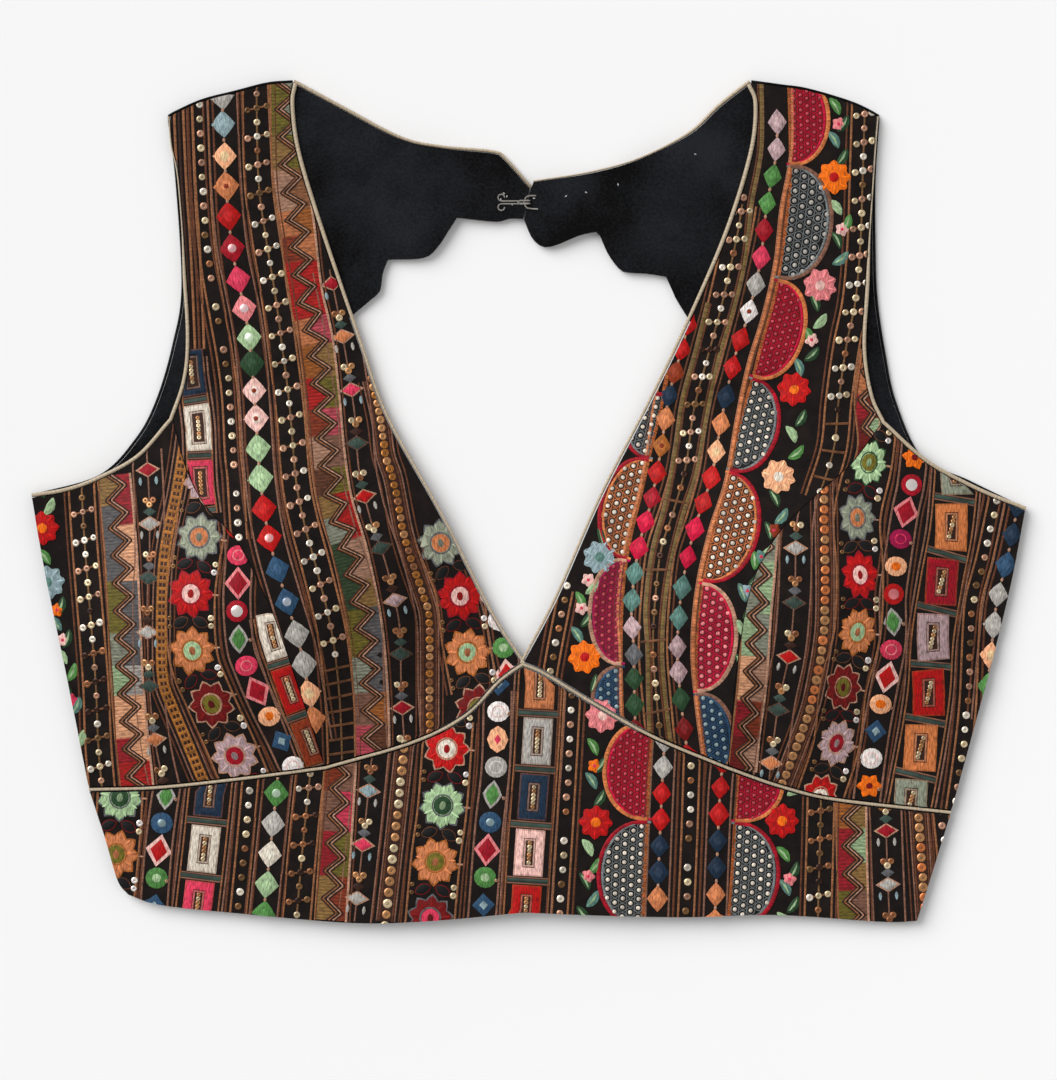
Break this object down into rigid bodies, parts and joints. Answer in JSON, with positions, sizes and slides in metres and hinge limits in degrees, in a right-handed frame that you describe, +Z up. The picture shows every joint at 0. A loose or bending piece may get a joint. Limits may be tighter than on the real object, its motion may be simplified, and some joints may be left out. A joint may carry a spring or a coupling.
{
  "type": "choli blouse",
  "caption": "Sleeveless cropped choli blouse laid flat, with padded-look cups, a deep V neck, a scalloped open back and a hooked closure.",
  "frame": {"origin": "middle of the blouse's bounding box, at the surface that its back lies on", "axes": "+X across the blouse towards the picture's right, +Y towards the shoulders, +Z up off the surface"},
  "size_m": [0.4394, 0.3728, 0.0291],
  "materials": {
    "embroidered_cloth": "dark cloth with dense multicoloured thread embroidery, sequins and mirrors",
    "lining_cloth": "matt black lining",
    "piping_cord": "pale gold corded piping",
    "hook_steel": "bent steel wire"
  },
  "bodies": {
    "root": {"back_left": "embroidered_cloth", "back_right": "embroidered_cloth", "back_lining_left": "lining_cloth", "back_lining_right": "lining_cloth", "front_centre_left": "embroidered_cloth", "front_centre_right": "embroidered_cloth", "front_side_left": "embroidered_cloth", "front_side_right": "embroidered_cloth", "front_band": "embroidered_cloth", "piping_underbust": "piping_cord", "piping_neck_front_left": "piping_cord", "piping_neck_front_right": "piping_cord", "piping_neck_back_left": "piping_cord", "piping_neck_back_right": "piping_cord", "piping_armhole_front_left": "piping_cord", "piping_armhole_front_right": "piping_cord", "piping_armhole_back_left": "piping_cord", "piping_armhole_back_right": "piping_cord", "hook_top": "hook_steel", "eye_top": "hook_steel", "hook_low_1": "hook_steel", "hook_low_2": "hook_steel", "eye_low_1": "hook_steel", "eye_low_2": "hook_steel"}
  },
  "joints": []
}
